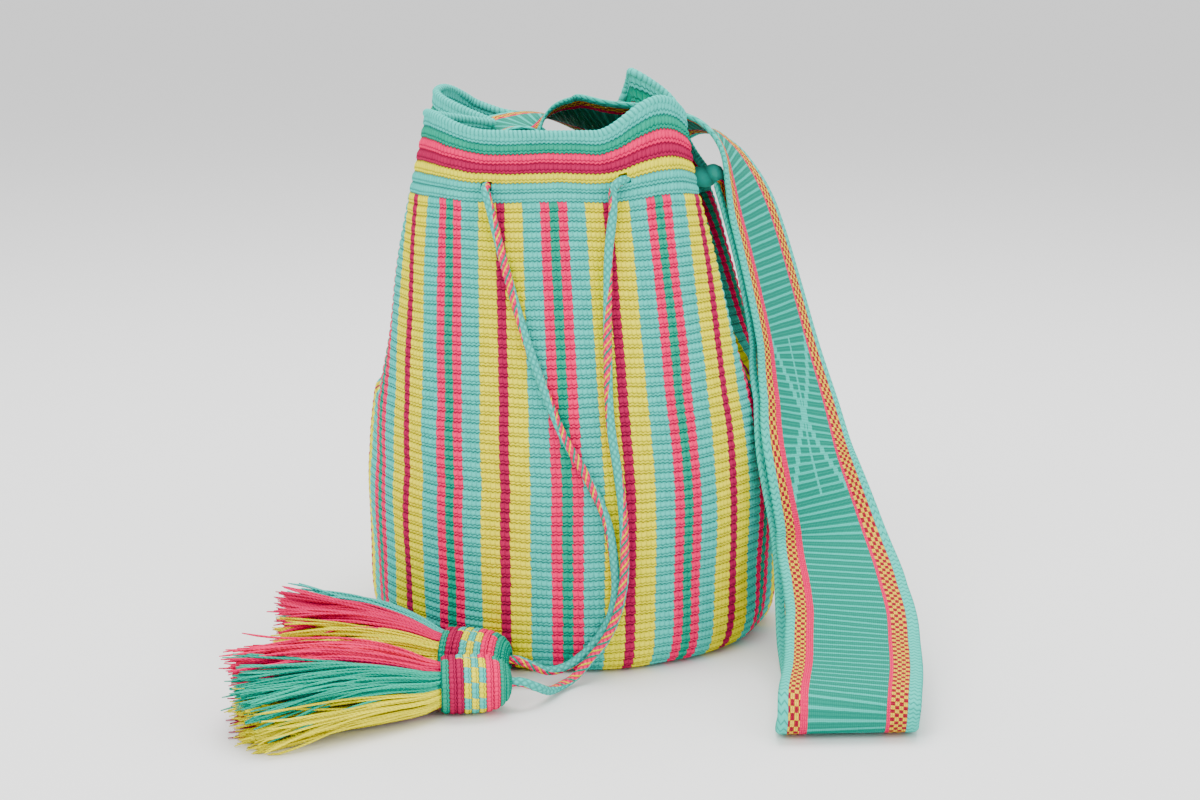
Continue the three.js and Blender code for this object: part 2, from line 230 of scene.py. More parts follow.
def piece(name, knitted, material, replaced):
    """Closes the cloth's seams and makes it a piece of the bag."""
    grid, mesh = knitted
    bmesh.ops.remove_doubles(grid, verts=grid.verts, dist=0.00001)
    bmesh.ops.recalc_face_normals(grid, faces=grid.faces)
    for face in grid.faces:
        face.smooth = True
    grid.to_mesh(mesh)
    grid.free()
    mesh.materials.append(material)
    made = bpy.data.objects.new(name, mesh)
    bpy.context.scene.collection.objects.link(made)
    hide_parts(replaced)
    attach(made, "root")
    return made


def around(middle, ahead, turn, radius):
    """Places round a line at these middles: the section of a cord or of a strand."""
    side = unit(np.cross(unit(ahead), (0.31, 0.22, 0.93)))
    over = np.cross(side, unit(ahead))
    out = side * np.cos(turn)[:, None] + over * np.sin(turn)[:, None]
    return middle + out * np.asarray(radius)[..., None]


class Wire:
    """A shader socket that reads as a number in an expression."""

    def __init__(self, finish, socket):
        self.finish, self.socket = finish, socket

    def math(self, operation, *values):
        return self.finish.node("Math", {"operation": operation}, *values)

    def __add__(self, other):
        return self.math("ADD", self, other)

    def __radd__(self, other):
        return self.math("ADD", other, self)

    def __sub__(self, other):
        return self.math("SUBTRACT", self, other)

    def __rsub__(self, other):
        return self.math("SUBTRACT", other, self)

    def __mul__(self, other):
        return self.math("MULTIPLY", self, other)

    def __rmul__(self, other):
        return self.math("MULTIPLY", other, self)

    def __truediv__(self, other):
        return self.math("DIVIDE", self, other)

    def __pow__(self, other):
        return self.math("POWER", self, other)

    def __mod__(self, other):
        return self.math("FLOORED_MODULO", self, other)

    def __gt__(self, other):
        return self.math("GREATER_THAN", self, other)

    def __lt__(self, other):
        return self.math("LESS_THAN", self, other)

    def __abs__(self):
        return self.math("ABSOLUTE", self)

    def floor(self):
        return self.math("FLOOR", self)

    def sine(self):
        return self.math("SINE", self)

    def low(self, other):
        return self.math("MINIMUM", self, other)

    def high(self, other):
        return self.math("MAXIMUM", self, other)

    def hill(self, middle, half):
        """A rounded hill of height one, this far either side of the middle."""
        off = abs(self - middle) / half
        return (1 - off * off).high(0) ** 0.5


class Finish:
    """A material: a matt yarn surface, with one method for any other node."""

    def __init__(self, name, roughness=0.9):
        self.material = bpy.data.materials.new(name)
        self.material.use_nodes = True
        self.tree = self.material.node_tree
        self.surface = self.tree.nodes["Principled BSDF"]
        self.surface.inputs["Roughness"].default_value = roughness
        self.surface.inputs["Specular IOR Level"].default_value = 0.1

    def node(self, kind, settings, *values, out=0, **named):
        made = self.tree.nodes.new("ShaderNode" + kind)
        for key, value in settings.items():
            setattr(made, key, value)
        for socket, value in zip(made.inputs, values):
            self.feed(socket, value)
        for key, value in named.items():
            self.feed(made.inputs[key], value)
        return Wire(self, made.outputs[out])

    def feed(self, socket, value):
        if isinstance(value, Wire):
            self.tree.links.new(value.socket, socket)
        else:
            socket.default_value = value

    def threads(self):
        """The piece's own thread coordinates, across and along."""
        both = self.node("UVMap", {"uv_map": "cloth"})
        return (self.node("SeparateXYZ", {}, both, out=0),
                self.node("SeparateXYZ", {}, both, out=1))

    def noise(self, scale, detail=2.0):
        place = self.node("TexCoord", {}, out=3)
        return self.node("TexNoise", {}, Vector=place, Scale=scale, Detail=detail)

    def scatter(self, a, b):
        """A number from 0 to 1 for each whole a and b."""
        both = self.node("CombineXYZ", {}, a.floor(), b.floor(), 0.0)
        return self.node("TexWhiteNoise", {"noise_dimensions": "3D"}, both)

    def mix(self, share, a, b):
        """Colour a, or colour b where share is one."""
        made = self.node("Mix", {"data_type": "RGBA"}, share, out=2)
        self.feed(made.socket.node.inputs[6], a)
        self.feed(made.socket.node.inputs[7], b)
        return made

    def bands(self, where, stops):
        """Flat bands of colour, each from its stop to the next."""
        made = self.node("ValToRGB", {}, where)
        ramp = made.socket.node.color_ramp
        ramp.interpolation = "CONSTANT"
        ramp.elements.remove(ramp.elements[1])
        ramp.elements[0].color = stops[0][1]
        for start, colour in stops[1:]:
            ramp.elements.new(start).color = colour
        return made

    def shade(self, colour, light):
        """The colour, darker where light is under one."""
        return self.mix(light, (0, 0, 0, 1), colour)

    def finish(self, colour, height, depth):
        """The material, in this colour and with this relief."""
        relief = self.node("Bump", {}, Distance=depth, Height=height)
        self.feed(self.surface.inputs["Base Color"], colour)
        self.feed(self.surface.inputs["Normal"], relief)
        return self.material


# Colours of the bag's yarns
AQUA = (0.045, 0.58, 0.49, 1)
GREEN = (0.0, 0.35, 0.22, 1)
PINK = (1.0, 0.0, 0.125, 1)
MAGENTA = (0.45, 0.006, 0.075, 1)
YELLOW = (0.90, 0.81, 0.0, 1)

# A plait takes up this much cord
PLAIT = 0.0085
cord_rings = round(CORD_LENGTH / (PLAIT / 5))


def cord_place(u, v, _):
    where = v * CORD_LENGTH
    middle = along(cord_curve, cord_run, where)
    ahead = (along(cord_curve, cord_run, where + 0.002)
             - along(cord_curve, cord_run, where - 0.002))
    plaits = np.sin(2 * math.pi * (u * 4 - where / PLAIT)) * np.sin(
        2 * math.pi * (u * 4 + where / PLAIT))
    return around(middle, ahead, 2 * math.pi * u, CORD_RADIUS + 0.0002 * plaits)


braid = Finish("braid", roughness=0.75)
turn, run = braid.threads()
# Thread coordinates along the cord are in millimetres
plaits = run / (PLAIT * 1000)
lean = turn * 2 + plaits
fleck = braid.bands(lean % 1, [(0, PINK), (0.34, YELLOW), (0.5, PINK), (0.8, GREEN)])
plait = abs(((turn * 4 + plaits * 2) * math.pi).sine()) * abs(
    ((turn * 4 - plaits * 2) * math.pi).sine())
# The aqua and the flecked yarns lie opposite each other and turn slowly round it
flecked = abs((turn + run / 110) % 1 - 0.5) > 0.27
# Painted shade: the cord's colour is darker in the grooves between the plaits, where the relief
# is low.
cord_colour = braid.shade(braid.mix(flecked, AQUA, fleck), (0.55 + 0.6 * plait).low(1))
braid_material = braid.finish(cord_colour, plait, 0.0006)

cord = piece("drawstring", knit("drawstring", 16, cord_rings, cord_place,
                                lambda u, v, _: (u, v * CORD_LENGTH * 1000)),
             braid_material, "drawstring")
cord_middle = along(cord_curve, cord_run, np.linspace(0, CORD_LENGTH, cord_rings + 1))

# ---------------------------------------------------------------------------
# Wall: 58 rounds of tight crochet over a carried yarn, so that every stitch can
# have its own colour. Narrow upright stripes repeat every 24 stitches, and plain
# rounds close the top.

ROWS = 58
WALL = 0.003
TABLE_GAP = 0.0002
FRONT_STITCH = 12.8
# In each row a deep groove, a thin twisted ridge and the body of the stitch
LINES_IN_ROW = np.array((0.0, 0.20, 0.64))
LINE_RELIEF = np.array((-0.0006, 0.0001, 0.0003))
# Between stitches the cloth is thinner, and hand work is never quite even
STITCH_RELIEF = 0.00016
STITCH_DIP = 0.00025
SLACK = 0.0006
UNEVEN = 0.0004


def wall_place(u, v, inset=0.0, relief=1.0):
    """Where each stitch lies on the wall, or on its lining."""
    line = np.rint(v * ROWS * 3).astype(int)
    stitch = u * STITCHES
    peak = np.cos(2 * math.pi * stitch)
    turn = 2 * math.pi * u
    # Whole numbers of waves go round the bag, so that they meet
    slack = np.sin(13 * turn + line * 0.05) * np.sin(3 * turn + line * 0.077)
    out = relief * (LINE_RELIEF[line % 3] - STITCH_RELIEF * peak * (line % 3 > 0))
    out = out + SLACK * slack
    places = np.empty((len(u), 3))
    for k in range(ROWS * 3 + 1):
        here = line == k
        ring = level((k // 3 + LINES_IN_ROW[k % 3]) / ROWS)
        share = (stitch[here] - FRONT_STITCH) / STITCHES % 1
        angle = np.interp(share * ring[4][-1], ring[4], ROUND)
        places[here] = wall_point(angle, ring, inset - out[here])
    uneven = UNEVEN * np.sin(10 * turn + line * 0.03)
    dip = relief * STITCH_DIP * peak * (line % 3 == 0)
    places[:, 2] += np.minimum(v * 20, 1) * (uneven + dip)
    places[:, 2] = np.maximum(places[:, 2], TABLE_GAP)
    return places


def wall_thread(u, v, _):
    line = np.rint(v * ROWS * 3).astype(int)
    return u * STITCHES, line // 3 + LINES_IN_ROW[line % 3]


def crochet(name, relief_depth, colours):
    """Rounds of crochet, coloured by the stitch and the row that each place is in, with painted
    shade where the relief is low.
    """
    yarn = Finish(name)
    stitch, row = yarn.threads()
    loose = yarn.noise(130) - 0.5
    stitch = stitch + 0.30 * loose
    row = row + 0.22 * (yarn.noise(90) - 0.5)
    step = row + 0.05 * (2 * math.pi * stitch).sine()
    rise = step % 1
    # The body leans and overhangs the row below
    lean = stitch + 0.30 * (rise - 0.5)
    body = rise.hill(0.66, 0.33) * (0.45 + 0.55 * abs((math.pi * lean).sine()) ** 0.6)
    twist = abs((math.pi * (stitch - 1.1 * rise)).sine())
    ridge = rise.hill(0.19, 0.14) * (0.62 + 0.38 * twist)
    plies = (2 * math.pi * (lean * 4 + rise * 1.5)).sine()
    height = body.high(0.95 * ridge) + 0.05 * plies * body
    tone = yarn.scatter(lean, step) * 0.16 + 0.92
    fuzz = yarn.noise(1500, 4.0) * 0.30 + 0.85
    # Painted shade: the colour is darker in the grooves between rows and between stitches,
    # where the relief is low; tone and fuzz are the yarn's own uneven colour.
    light = (0.34 + 0.84 * height).low(1) * tone * fuzz
    return yarn.finish(yarn.shade(colours(yarn, lean, step), light), height, relief_depth)


def bag_colours(yarn, stitch, row):
    stripes = yarn.bands(((stitch + 1) % 24).floor() / 24 + 0.01, [
        (0, MAGENTA), (2 / 24, YELLOW), (6 / 24, AQUA), (10 / 24, PINK), (12 / 24, GREEN),
        (14 / 24, PINK), (16 / 24, AQUA), (20 / 24, YELLOW)])
    top = yarn.bands((row.floor() - 50) / 8 + 0.01, [
        (0, AQUA), (3 / 8, YELLOW), (4 / 8, MAGENTA), (5 / 8, PINK), (6 / 8, GREEN),
        (7 / 8, AQUA)])
    return yarn.mix(row > 51, stripes, top)


crochet_material = crochet("crochet", 0.0009, bag_colours)

wall = knit("wall", STITCHES * 2, ROWS * 3, lambda u, v, _: wall_place(u, v), wall_thread)
lining = knit("lining", STITCHES, ROWS * 3, lambda u, v, _: wall_place(u, v, WALL, 0.5),
              wall_thread)

# Where the drawstring goes through, the stitches are opened round it
NECK_BOTTOM = 0.250
EYELET_RADIUS = 0.0034
high = cord_middle[cord_middle[:, 2] > NECK_BOTTOM]
heading = np.degrees(np.arctan2(high[:, 1], high[:, 0] - NECK_SHIFT))
cord_reach = np.linalg.norm(high[:, :2] - (NECK_SHIFT, 0), axis=1)
wall_reach = np.linalg.norm(outline(heading, neck[0], neck[2], neck[3]), axis=1) - WALL / 2
inside = cord_reach < wall_reach
crossings = high[:-1][inside[:-1] != inside[1:]]
for grid, _ in (wall, lining):
    opened = []
    for face in grid.faces:
        middle = face.calc_center_median()
        if middle.z < NECK_BOTTOM - EYELET_RADIUS:
            continue
        if np.linalg.norm(crossings - middle, axis=1).min() < EYELET_RADIUS:
            opened.append(face)
    bmesh.ops.delete(grid, geom=opened, context="FACES")

piece("wall", wall, crochet_material, "bag_body")
piece("lining", lining, crochet_material, "bag_body")

# ---------------------------------------------------------------------------
# Rim: the last round of the crochet, worked back over its own edge, so that it
# stands up as a thick rolled aqua cord.

RIM_RADIUS = 0.0024
RIM_STITCH_RELIEF = 0.00014
rim_ring = level(1.0)


def rim_place(u, v, _):
    share = (v * STITCHES - FRONT_STITCH) / STITCHES % 1
    angle = np.interp(share * rim_ring[4][-1], rim_ring[4], ROUND)
    middle = wall_point(angle, rim_ring, WALL / 2)
    ahead = wall_point(angle + 0.4, rim_ring, WALL / 2) - wall_point(
        angle - 0.4, rim_ring, WALL / 2)
    leaning = np.cos(2 * math.pi * (v * STITCHES + u))
    return around(middle, ahead, 2 * math.pi * u, RIM_RADIUS - RIM_STITCH_RELIEF * leaning)


rim_yarn = Finish("rim")
turn, stitch = rim_yarn.threads()
gap = abs((math.pi * (stitch + turn)).sine()) ** 0.6
# Painted shade: the aqua of the rim and of the seams is darker in the gaps between stitches;
# the noise is the yarn's own uneven colour.
rim_light = (0.62 + 0.42 * gap).low(1) * (rim_yarn.noise(1500) * 0.3 + 0.85)
rim_material = rim_yarn.finish(rim_yarn.shade(AQUA, rim_light), gap, 0.0006)
piece("rim", knit("rim", 12, STITCHES * 4, rim_place, lambda u, v, _: (u, v * STITCHES)),
      rim_material, "bag_body")

# ---------------------------------------------------------------------------
# Base: a flat round of the same crochet, worked outwards from the middle in
# plain rounds of the stripe colours.

BASE_ROW = 0.0052
BASE_STITCHES = 180
BASE_RELIEF = 0.00035
base_profile, base_run = spline([
    (0.0001, 0.0004), (0.050, 0.0003), (0.100, 0.0003), (0.1055, 0.0008), (0.1085, 0.0032),
    (0.103, 0.0040), (0.050, 0.0036), (0.0001, 0.0036)])


def base_place(u, v, _):
    r, z = along(base_profile, base_run, v * base_run[-1]).T
    ripple = BASE_RELIEF * np.cos(2 * math.pi * v * base_run[-1] / BASE_ROW)
    z = z + ripple * (z > 0.002)
    return np.stack([r * np.cos(2 * math.pi * u), r * np.sin(2 * math.pi * u), z], -1)


def base_colours(yarn, stitch, row):
    return yarn.bands((row.floor() % 8) / 8 + 0.01, [
        (0, AQUA), (3 / 8, YELLOW), (4 / 8, AQUA), (5 / 8, PINK), (6 / 8, GREEN),
        (7 / 8, PINK)])


piece("base", knit("base", 96, 96, base_place,
                   lambda u, v, _: (u * BASE_STITCHES, v * base_run[-1] / BASE_ROW)),
      crochet("base", 0.0010, base_colours), "bag_body")

# ---------------------------------------------------------------------------
# Strap: a flat woven band 72 mm wide. One end is sewn inside the neck on the
# left, the band arches over the mouth, hangs down the right side, lies doubled
# on the table in front and climbs back to the right of the neck.

STRAP_WIDTH = 0.072
STRAP_THICKNESS = 0.003
RIB = 0.0047
RIB_LINES = np.array((0.0, 0.22, 0.61))
RIB_DIP = 0.0002
# Each place of the band's middle, and the direction across it
STRAP_ROUTE = [
    (-0.0545, 0.004, 0.264, 0, 1, 0), (-0.049, 0.0045, 0.277, 0, 1, 0),
    (-0.042, 0.007, 0.2865, -0.1, 0.99, 0.05), (-0.03, 0.013, 0.29, -0.28, 0.95, 0.08),
    (-0.014, 0.015, 0.294, -0.2, 0.97, -0.14), (0.006, 0.012, 0.293, 0, 0.93, -0.36),
    (0.024, 0.005, 0.29, 0.06, 0.9, -0.42), (0.044, 0.004, 0.289, 0.1, 0.91, -0.4),
    (0.06, -0.004, 0.2925, 0.1, 0.93, -0.25), (0.074, -0.009, 0.29, 0.1, 0.97, -0.15),
    (0.0865, -0.01, 0.278, 0.2, 0.97, -0.1), (0.095, -0.0105, 0.262, 0.33, 0.94, -0.05),
    (0.1015, -0.0115, 0.245, 0.42, 0.91, 0), (0.107, -0.013, 0.228, 0.45, 0.89, 0),
    (0.114, -0.016, 0.203, 0.47, 0.88, 0.03), (0.124, -0.023, 0.163, 0.52, 0.85, 0.06),
    (0.13, -0.037, 0.134, 0.62, 0.78, 0.06), (0.134, -0.051, 0.11, 0.72, 0.69, 0.06),
    (0.146, -0.069, 0.066, 0.86, 0.5, 0.06), (0.15, -0.097, 0.048, 0.91, 0.4, 0.04),
    (0.151, -0.121, 0.038, 0.96, 0.2, 0), (0.149, -0.144, 0.031, 0.99, 0.1, 0),
    (0.146, -0.173, 0.026, 1, 0.03, 0), (0.1415, -0.2, 0.0226, 1, 0.04, 0),
    (0.14, -0.209, 0.019, 1, 0.05, 0), (0.1395, -0.2125, 0.0122, 1, 0.05, 0),
    (0.1395, -0.209, 0.0056, 1, 0.05, 0), (0.14, -0.2, 0.0027, 1, 0.04, 0),
    (0.145, -0.172, 0.0025, 1, -0.1, 0), (0.1485, -0.143, 0.0025, 1, -0.06, 0),
    (0.1495, -0.118, 0.0033, 1, 0.02, 0), (0.149, -0.095, 0.01, 0.98, 0.12, 0),
    (0.147, -0.077, 0.028, 0.94, 0.34, 0.02), (0.1425, -0.062, 0.062, 0.86, 0.5, 0.06),
    (0.1295, -0.0465, 0.11, 0.72, 0.69, 0.06), (0.126, -0.035, 0.134, 0.62, 0.78, 0.06),
    (0.12, -0.0195, 0.163, 0.52, 0.85, 0.06), (0.111, -0.0125, 0.203, 0.47, 0.88, 0.03),
    (0.104, -0.0095, 0.228, 0.45, 0.89, 0), (0.098, -0.0075, 0.245, 0.42, 0.91, 0),
    (0.09, -0.005, 0.262, 0.33, 0.94, 0),
]
strap_curve, strap_run = spline(STRAP_ROUTE, 16)
STRAP_LENGTH = strap_run[-1]
strap_ribs = round(STRAP_LENGTH / RIB)


def strap_rib(v):
    """The line of the grid that v is on, and its place in ribs along the band."""
    line = np.rint(v * strap_ribs * 3).astype(int)
    return line, line // 3 + RIB_LINES[line % 3]


def strap_place(u, v, _):
    line, ribs = strap_rib(v)
    where = ribs * STRAP_LENGTH / strap_ribs
    here = along(strap_curve, strap_run, where)
    ahead = unit(along(strap_curve, strap_run, where + 0.002)[:, :3]
                 - along(strap_curve, strap_run, where - 0.002)[:, :3])
    across = here[:, 3:] - ahead * (here[:, 3:] * ahead).sum(1)[:, None]
    across = unit(across)
    face = np.cross(ahead, across)
    # A flat section with soft edges, closed at the band's two ends
    share = 1 - 2 * np.abs(1 - 2 * u)
    half = STRAP_THICKNESS / 2 * np.sqrt(np.maximum(1 - np.abs(share)**24, 0))
    field = np.abs(share) < 0.55
    half = half - RIB_DIP * field * (line % 3 == 0)
    half = np.where((v < 0.0001) | (v > 0.9999), 0, half) * np.sign(0.5 - u)
    return here[:, :3] + across * (share * STRAP_WIDTH / 2)[:, None] + face * half[:, None]


def strap_thread(u, v, _):
    """Millimetres across the band, on either face, and ribs along it."""
    return STRAP_WIDTH * 1000 * (1 - np.abs(1 - 2 * u)), strap_rib(v)[1]


webbing = Finish("webbing", roughness=0.8)
across, rib = webbing.threads()
across = across + 0.35 * (webbing.noise(160) - 0.5)
rib = rib + 0.10 * (webbing.noise(110) - 0.5)
# Colours of the strap's yarns
LIGHT = (0.025, 0.56, 0.45, 1)
TEAL = (0.0, 0.26, 0.18, 1)
MAROON = (0.40, 0.006, 0.035, 1)
GOLD = (1.0, 0.62, 0.02, 1)
# Where each band of the weave starts, in millimetres across the strap
LEFT_CHECK = 5.2
LEFT_PINK = 11.2
FIELD = 15.2
RIGHT_PINK = 54.7
RIGHT_CHECK = 56.7
RIGHT_EDGE = 65.1
STRAP_MM = 72
FIELD_MIDDLE = 34.9
FIELD_HALF = 19.7
CHECK_MM = 2.1
YARN_MM = 1.05
CHEVRON_MM = 3.4
BAR_HALF = 0.37
# The motif's first rib, how many ribs each cross takes up, and its lines' half-widths
MOTIF_START = 60
MOTIF_RIBS = 19
MOTIF_LINE = 1.7
MOTIF_STEM = 0.8
# Green bars between thin raised light ribs, and a light motif of stacked crosses
bar = abs(rib % 1 - 0.5) < BAR_HALF
off = abs(across - FIELD_MIDDLE)
motif_rib = rib.floor() - MOTIF_START
zigzag = abs((motif_rib / MOTIF_RIBS) % 1 - 0.5) * 2 * FIELD_HALF
crossed = (abs(off - zigzag) < MOTIF_LINE).high(off < MOTIF_STEM)
in_motif = (motif_rib > -1) * (motif_rib < MOTIF_RIBS + 1)
plain = webbing.mix(bar, LIGHT, TEAL)
field = webbing.mix(crossed * in_motif, plain, LIGHT)
check = ((across / CHECK_MM).floor() + (rib * 2).floor()) % 2
check_colour = webbing.mix(check, MAROON, GOLD)
bands = webbing.bands(across / STRAP_MM, [(start / STRAP_MM, colour) for start, colour in [
    (0, LIGHT), (LEFT_CHECK, MAROON), (LEFT_PINK, PINK), (FIELD, TEAL), (RIGHT_PINK, PINK),
    (RIGHT_CHECK, MAROON), (RIGHT_EDGE, LIGHT)]])
in_field = off < FIELD_HALF
in_left_check = (across > LEFT_CHECK) * (across < LEFT_PINK)
in_right_check = (across > RIGHT_CHECK) * (across < RIGHT_EDGE)
in_check = in_left_check.high(in_right_check)
strap_colour = webbing.mix(in_check, webbing.mix(in_field, bands, field), check_colour)
weave = abs((math.pi * across / YARN_MM).sine()) * abs((math.pi * (rib * 3)).sine())
chevron = abs(across % CHEVRON_MM - CHEVRON_MM / 2)
edge_knit = abs((math.pi * (rib * 1.5 + chevron / CHEVRON_MM)).sine()) ** 0.6
in_edge = (across < LEFT_CHECK).high(across > RIGHT_EDGE)
raised = abs(rib % 1 - 0.5) * 2
borders = in_edge * edge_knit + (1 - in_edge) * weave
height = in_field * (0.35 * weave + 0.65 * raised ** 3) + (1 - in_field) * borders
# Painted shade: the strap's colours are darker between the yarns of the weave and in the
# hollows of the knitted edges; fuzz is the yarn's own uneven colour.
light = in_edge * (0.40 + 0.80 * edge_knit) + (1 - in_edge) * (0.66 + 0.46 * weave)
fuzz = webbing.noise(1300, 4.0) * 0.24 + 0.88
strap_shaded = webbing.shade(strap_colour, light.low(1) * fuzz)
webbing_material = webbing.finish(strap_shaded, height, 0.0005)
strap = piece("strap", knit("strap", 96, strap_ribs * 3, strap_place, strap_thread),
              webbing_material, "strap")

# ---------------------------------------------------------------------------
# Seams: the strap's ends are sewn to the inside of the neck with thick aqua yarn,
# the left one with a ladder of small stitches. The right one is bunched up and
# sewn to the fold with a few large ones.


def seam(name, middle, ahead, length, radius, stitch_length, depth, node):
    """A row of oversewn stitches along a straight line."""
    turns = round(length / stitch_length)

    def place(u, v, _):
        line = np.array(middle) + np.outer((v - 0.5) * length, ahead)
        bulge = radius * (1 - depth + depth * np.abs(np.sin(math.pi * (v * turns + u))))
        bulge = bulge * np.maximum(1 - np.abs(2 * v - 1)**8, 0.001)**0.5
        return around(line, np.tile(np.array(ahead, float), (len(u), 1)),
                      2 * math.pi * u, bulge)

    piece(name, knit(name, 16, turns * 12, place, lambda u, v, _: (u, v * turns)),
          rim_material, node)


seam("seam_left", (-0.0556, 0.004, 0.2595), (0, 1, 0), 0.056, 0.0018, 0.0032, 0.28,
     "strap_seam_left")
seam("seam_right", (0.0725, -0.020, 0.2625), (0.96, -0.1, 0.2), 0.026, 0.0064, 0.0085, 0.22,
     "strap_seam_right")

# ---------------------------------------------------------------------------
# Tassels: each end of the drawstring goes into a crocheted cap, where the heads
# of four hanks of yarn are tied. The hanks spread out on the table in a skirt.

CAP_STITCHES = 34
CAP_ROW = 0.0038
CAP_OUTSIDE = 0.046
CAP_STITCH_RELIEF = 0.0002
CAP_TABLE_GAP = 0.0004
cap_profile, cap_run = spline([
    (0.0039, 0), (0.008, 0.0012), (0.0124, 0.0055), (0.0148, 0.012), (0.0155, 0.023),
    (0.0150, 0.035), (0.0142, 0.037), (0.0128, 0.0355), (0.0132, 0.023), (0.0126, 0.013),
    (0.0104, 0.0076), (0.0066, 0.0042), (0.0039, 0.0027), (0.0039, 0)])
cap_rows = round(cap_run[-1] / CAP_ROW)


def turned(local, heading, at):
    """Local places, turned to the tassel's heading on the table and moved to its tip."""
    c, s = math.cos(math.radians(heading)), math.sin(math.radians(heading))
    x, y, z = local
    return np.stack([c * x - s * y + at[0], s * x + c * y + at[1], z + at[2]], -1)


def cap_colours(yarn, stitch, row):
    # Worked in a spiral, so the bands step along by a row where each round starts
    row = row + (stitch > 9.5) * (stitch < 25)
    plain = yarn.bands(row.floor() / 16 + 0.01, [
        (0, GREEN), (4 / 16, PINK), (6 / 16, YELLOW), (8 / 16, AQUA), (9 / 16, MAGENTA),
        (11 / 16, GREEN)])
    checks = yarn.mix(((stitch / 3).floor() + row.floor()) % 2, AQUA, YELLOW)
    return yarn.mix((row > 6) * (row < 9), plain, checks)


cap_material = crochet("cap", 0.0007, cap_colours)


def cap(name, heading, at):
    """A thimble of crochet, worked from the cord's hole outwards and turned under."""
    def place(u, v, _):
        line = np.rint(v * cap_rows * 3).astype(int)
        row = line // 3 + LINES_IN_ROW[line % 3]
        r, s = along(cap_profile, cap_run, row / cap_rows * cap_run[-1]).T
        peak = np.cos(2 * math.pi * u * CAP_STITCHES)
        outside = row * CAP_ROW < CAP_OUTSIDE
        relief = 0.7 * LINE_RELIEF[line % 3] - CAP_STITCH_RELIEF * peak
        r = r + outside * (relief - CAP_TABLE_GAP)
        turn = 2 * math.pi * u
        return turned((-s, r * np.cos(turn), r * np.sin(turn)), heading, at)

    def thread(u, v, _):
        line = np.rint(v * cap_rows * 3).astype(int)
        return u * CAP_STITCHES, line // 3 + LINES_IN_ROW[line % 3]

    return piece(name, knit(name, CAP_STITCHES * 4, cap_rows * 3, place, thread), cap_material,
                 name)


TIE_RADIUS = 0.0106
TIE_THICK = 0.0020
TIE_WIDE = 0.0060
TIE_FROM_TIP = 0.018


def tie(name, heading, at):
    """A ring of yarn round the heads of the hanks, inside the cap."""
    def place(u, v, _):
        turn = 2 * math.pi * v
        r = TIE_RADIUS + TIE_THICK / 2 * np.cos(2 * math.pi * u)
        s = TIE_FROM_TIP + TIE_WIDE / 2 * np.sin(2 * math.pi * u)
        return turned((-s, r * np.cos(turn), r * np.sin(turn)), heading, at)

    piece(name, knit(name, 12, 48, place, lambda u, v, _: (u, v * 150)),
          yarns["yellow"], name)


SKIRT_WIDE = [(0, 0.009), (0.1, 0.009), (0.2, 0.0112), (0.33, 0.5), (0.6, 0.82), (1, 1)]
SKIRT_TALL = [(0, 0.009), (0.1, 0.009), (0.2, 0.0112), (0.33, 0.016), (0.6, 0.0205), (1, 0.021)]
SKIRT_AXIS_HEIGHT = 0.0148
SKIRT_START = 0.009
SKIRT_DROOP = 0.012
STRANDS = 180
STRAND_SIDES = 5
STRAND_STEPS = 18
STRAND_RADIUS = 0.00062
TIP_RADIUS = 0.0003
FLOOR_GAP = 0.0007
# How much the strands differ: their turns in degrees round the skirt, their
# waves, lengths and swayed tips, and how the outer ones fan out
DRIFT = 8
STRAY_SHARE = 0.05
STRAY_TURN = 22
WAVE = 0.08
UNEQUAL = 0.022
SWAY = 0.0035
FAN = 0.15
chance = np.random.default_rng(7)


def yarn_material(name, colour):
    """Two-ply yarn: each strand has its own tone and a fine slanting twist, with painted shade
    in the twist's grooves.
    """
    yarn = Finish(name, roughness=0.7)
    strand, run = yarn.threads()
    ply = abs((math.pi * (strand * 2 + run / 2.6)).sine())
    tone = yarn.scatter(strand, strand) * 0.45 + 0.70
    # Painted shade: each strand is darker in the grooves of its twist; tone is the strand's own
    # colour.
    light = tone * (0.74 + 0.30 * ply).low(1)
    return yarn.finish(yarn.shade(colour, light), ply, 0.0003)


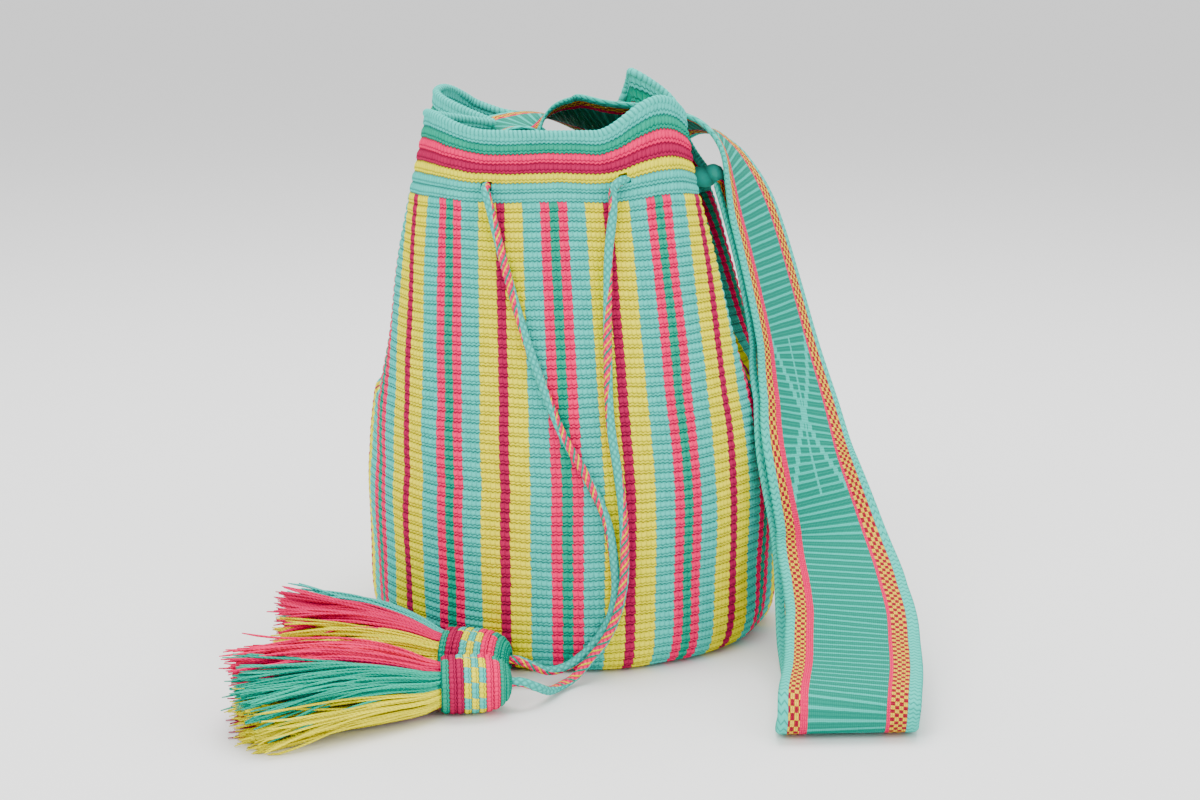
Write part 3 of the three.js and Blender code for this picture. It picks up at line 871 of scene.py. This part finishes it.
def hank(name, colour, start, end, length, spread, bend, heading, at):
    """One colour's share of a skirt, between two directions round its axis."""
    share = np.linspace(0, 1, STRAND_STEPS + 1)
    wide = np.array([(s, r if s < 0.3 else r * spread) for s, r in SKIRT_WIDE])
    wide = np.interp(share, *spline(wide)[0].T)
    tall = np.interp(share, *spline(SKIRT_TALL)[0].T)
    direction = chance.uniform(start + 2, end - 2, STRANDS)[:, None]
    drift = chance.normal(0, DRIFT, STRANDS)[:, None] * share**1.5
    stray = (chance.random(STRANDS) < STRAY_SHARE) * chance.normal(0, STRAY_TURN, STRANDS)
    direction = np.radians(direction + drift + stray[:, None] * share**2)
    depth = chance.random(STRANDS)[:, None]**0.35 * 0.97
    wave = WAVE * np.sin(share * chance.uniform(4, 11, STRANDS)[:, None]
                         + chance.uniform(0, 6, STRANDS)[:, None]) * share
    reach = length * (1 + chance.normal(0, UNEQUAL, STRANDS))[:, None]
    sideways = np.cos(direction) * depth
    sway = chance.normal(0, SWAY, (2, STRANDS, 1)) * share**3
    # The outer strands fan out and come down to the table
    x = -SKIRT_START - share * reach * (1 - FAN * share * sideways**2)
    y = bend * np.maximum(0, share - 0.2)**1.5 - (sideways + wave * np.cos(direction)) * wide
    z = np.sin(direction) * (depth + wave) * tall + np.maximum(0, tall - SKIRT_AXIS_HEIGHT)
    y = y + sway[0]
    z = z + sway[1] - SKIRT_DROOP * share**2 * np.abs(sideways)
    middle = turned((x, y, np.maximum(z, FLOOR_GAP - at[2])), heading, at)
    ahead = np.gradient(middle, axis=1)

    def place(u, v, strand):
        step = np.rint(v * STRAND_STEPS).astype(int)
        radius = np.where(step == STRAND_STEPS, TIP_RADIUS, STRAND_RADIUS)
        return around(middle[strand, step], ahead[strand, step], 2 * math.pi * u, radius)

    piece(name, knit(name, STRAND_SIDES, STRAND_STEPS, place,
                     lambda u, v, strand: (strand + u, v * 135), STRANDS),
          yarns[colour], name)


yarns = {"pink": yarn_material("yarn pink", (1.0, 0.0, 0.13, 1)),
         "magenta": yarn_material("yarn magenta", (0.85, 0.0, 0.12, 1)),
         "crimson": yarn_material("yarn crimson", MAGENTA),
         "green": yarn_material("yarn green", (0.0, 0.48, 0.32, 1)),
         "yellow": yarn_material("yarn yellow", (0.94, 0.84, 0.0, 1)),
         "aqua": yarn_material("yarn aqua", AQUA)}
# Each tassel's tip, heading in degrees, yarn length, spread, bend to the side, and
# where each colour lies round the skirt, in degrees from the side towards the front
TASSELS = {"front": ((-0.031, -0.168, 0.0156), 6, 0.133, 0.046, -0.010,
                     {"pink": (60, 185), "green": (14, 60), "yellow": (-60, 14),
                      "crimson": (185, 300)}),
           "rear": ((-0.033, -0.1326, 0.0156), -13, 0.120, 0.036, 0.006,
                    {"aqua": (82, 185), "magenta": (56, 82), "yellow": (-45, 56),
                     "green": (185, 315)})}
for side, (at, heading, length, spread, bend, hanks) in TASSELS.items():
    cap(f"tassel_cap_{side}", heading, at)
    tie(f"tassel_tie_{side}", heading, at)
    for colour, (start, end) in hanks.items():
        hank(f"tassel_{side}_{colour}", colour, start, end, length, spread, bend, heading, at)

# ---------------------------------------------------------------------------
# Stage: a pale seamless table under broad soft light.

table = bmesh.new()
bmesh.ops.create_grid(table, x_segments=1, y_segments=1, size=20)
floor_mesh = bpy.data.meshes.new("floor")
table.to_mesh(floor_mesh)
table.free()
floor = bpy.data.objects.new("floor", floor_mesh)
bpy.context.scene.collection.objects.link(floor)
pale = bpy.data.materials.new("floor")
pale.use_nodes = True
paint = pale.node_tree.nodes["Principled BSDF"].inputs
paint["Base Color"].default_value = (0.9, 0.9, 0.9, 1)
paint["Roughness"].default_value = 0.9
floor_mesh.materials.append(pale)

world = bpy.data.worlds.new("world")
world.use_nodes = True
sky = world.node_tree.nodes["Background"].inputs
sky["Color"].default_value = (1, 1, 1, 1)
sky["Strength"].default_value = 1.25
bpy.context.scene.world = world

# Each lamp's name, place, aim, size and power
for name, place, aim, size, power in [
        ("key", (-0.9, -1.3, 1.5), (0, 0, 0.12), 1.2, 24),
        ("fill", (1.5, -1.2, 0.9), (0, 0, 0.12), 1.4, 12),
        ("top", (0.1, 0.3, 1.9), (0, 0, 0.1), 1.4, 42)]:
    softbox = bpy.data.lights.new(name, "AREA")
    softbox.shape = "DISK"
    softbox.size = size
    softbox.energy = power
    lamp = bpy.data.objects.new(name, softbox)
    lamp.location = place
    away = Vector(place) - Vector(aim)
    lamp.rotation_euler = away.to_track_quat("Z", "Y").to_euler()
    bpy.context.scene.collection.objects.link(lamp)
